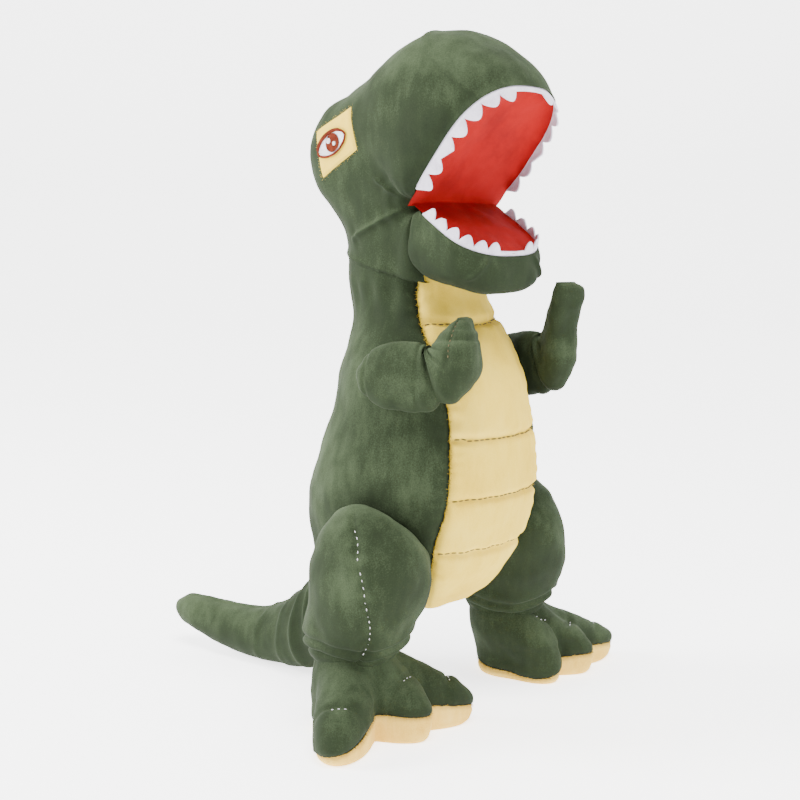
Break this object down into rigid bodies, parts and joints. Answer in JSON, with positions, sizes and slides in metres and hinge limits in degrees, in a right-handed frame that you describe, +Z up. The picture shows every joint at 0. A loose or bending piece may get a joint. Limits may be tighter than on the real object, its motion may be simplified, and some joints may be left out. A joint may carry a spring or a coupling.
{
  "type": "stuffed dinosaur",
  "caption": "Green plush dinosaur standing on two feet and its tail, with an open red mouth, felt teeth, a yellow quilted belly and embroidered eyes.",
  "frame": {"origin": "on the floor under the middle of the toy's bounding box", "axes": "+Z up, the toy faces -Y and its right side is -X"},
  "size_m": [0.3104, 0.3287, 0.4509],
  "materials": {
    "green_plush": "short pile plush, dark green with nap marks",
    "yellow_plush": "short pile plush, pale yellow",
    "sole_plush": "short pile plush, warm yellow",
    "red_plush": "brushed red fabric",
    "felt": "white felt",
    "embroidery": "satin stitch, rust brown",
    "thread": "sewing thread, dark",
    "fibre": "polyester fibre filling"
  },
  "bodies": {
    "torso": {"torso_skin": "green_plush", "torso_stuffing": "fibre", "belly_panel": "yellow_plush", "belly_quilting": "thread", "back_patch": "embroidery"},
    "neck": {"neck_stuffing": "fibre", "neck_skin": "green_plush"},
    "head": {"head_skin": "green_plush", "head_stuffing": "fibre", "palate_lining": "red_plush", "upper_teeth": "felt", "eye_patch_right": "yellow_plush", "eye_patch_left": "yellow_plush", "eye_right": "embroidery", "eye_left": "embroidery"},
    "jaw": {"jaw_skin": "green_plush", "jaw_stuffing": "fibre", "tongue_lining": "red_plush", "lower_teeth": "felt"},
    "arm_right": {"arm_right_skin": "green_plush", "arm_right_stuffing": "fibre"},
    "arm_left": {"arm_left_skin": "green_plush", "arm_left_stuffing": "fibre"},
    "leg_right": {"leg_right_skin": "green_plush", "leg_right_stuffing": "fibre", "foot_right_upper": "green_plush", "foot_right_stuffing": "fibre", "foot_right_sole": "sole_plush"},
    "leg_left": {"leg_left_skin": "green_plush", "leg_left_stuffing": "fibre", "foot_left_upper": "green_plush", "foot_left_stuffing": "fibre", "foot_left_sole": "sole_plush"},
    "tail": {"tail_skin": "green_plush", "tail_stuffing": "fibre"}
  },
  "joints": [
    {"name": "head_turn", "type": "hinge", "parent": "torso", "child": "neck", "pos_m": [-0.017, -0.064, 0.281], "axis": [0, 0, 1], "range_deg": [-20, 20], "stiffness_Nm_per_rad": 1.2},
    {"name": "head_nod", "type": "hinge", "parent": "neck", "child": "head", "pos_m": [-0.017, -0.064, 0.281], "axis": [1, 0, 0], "range_deg": [-9, 4], "stiffness_Nm_per_rad": 4},
    {"name": "jaw", "type": "hinge", "parent": "head", "child": "jaw", "pos_m": [-0.017, -0.096, 0.34], "axis": [1, 0, 0], "range_deg": [-30, 3], "stiffness_Nm_per_rad": 0.6},
    {"name": "shoulder_right", "type": "hinge", "parent": "torso", "child": "arm_right", "pos_m": [-0.0795, -0.0997, 0.233], "axis": [-0.9397, -0.342, 0], "range_deg": [-16, 22], "stiffness_Nm_per_rad": 0.25},
    {"name": "shoulder_left", "type": "hinge", "parent": "torso", "child": "arm_left", "pos_m": [0.0455, -0.0997, 0.233], "axis": [0.9397, -0.342, 0], "range_deg": [-3, 16], "stiffness_Nm_per_rad": 0.25},
    {"name": "hip_right", "type": "hinge", "parent": "torso", "child": "leg_right", "pos_m": [-0.095, -0.069, 0.108], "axis": [1, 0, 0], "range_deg": [-8, 8], "stiffness_Nm_per_rad": 6},
    {"name": "hip_left", "type": "hinge", "parent": "torso", "child": "leg_left", "pos_m": [0.061, -0.069, 0.108], "axis": [1, 0, 0], "range_deg": [-8, 8], "stiffness_Nm_per_rad": 6},
    {"name": "tail_swing", "type": "hinge", "parent": "torso", "child": "tail", "pos_m": [-0.017, 0.011, 0.048], "axis": [0, 0, 1], "range_deg": [-15, 15], "stiffness_Nm_per_rad": 1}
  ]
}
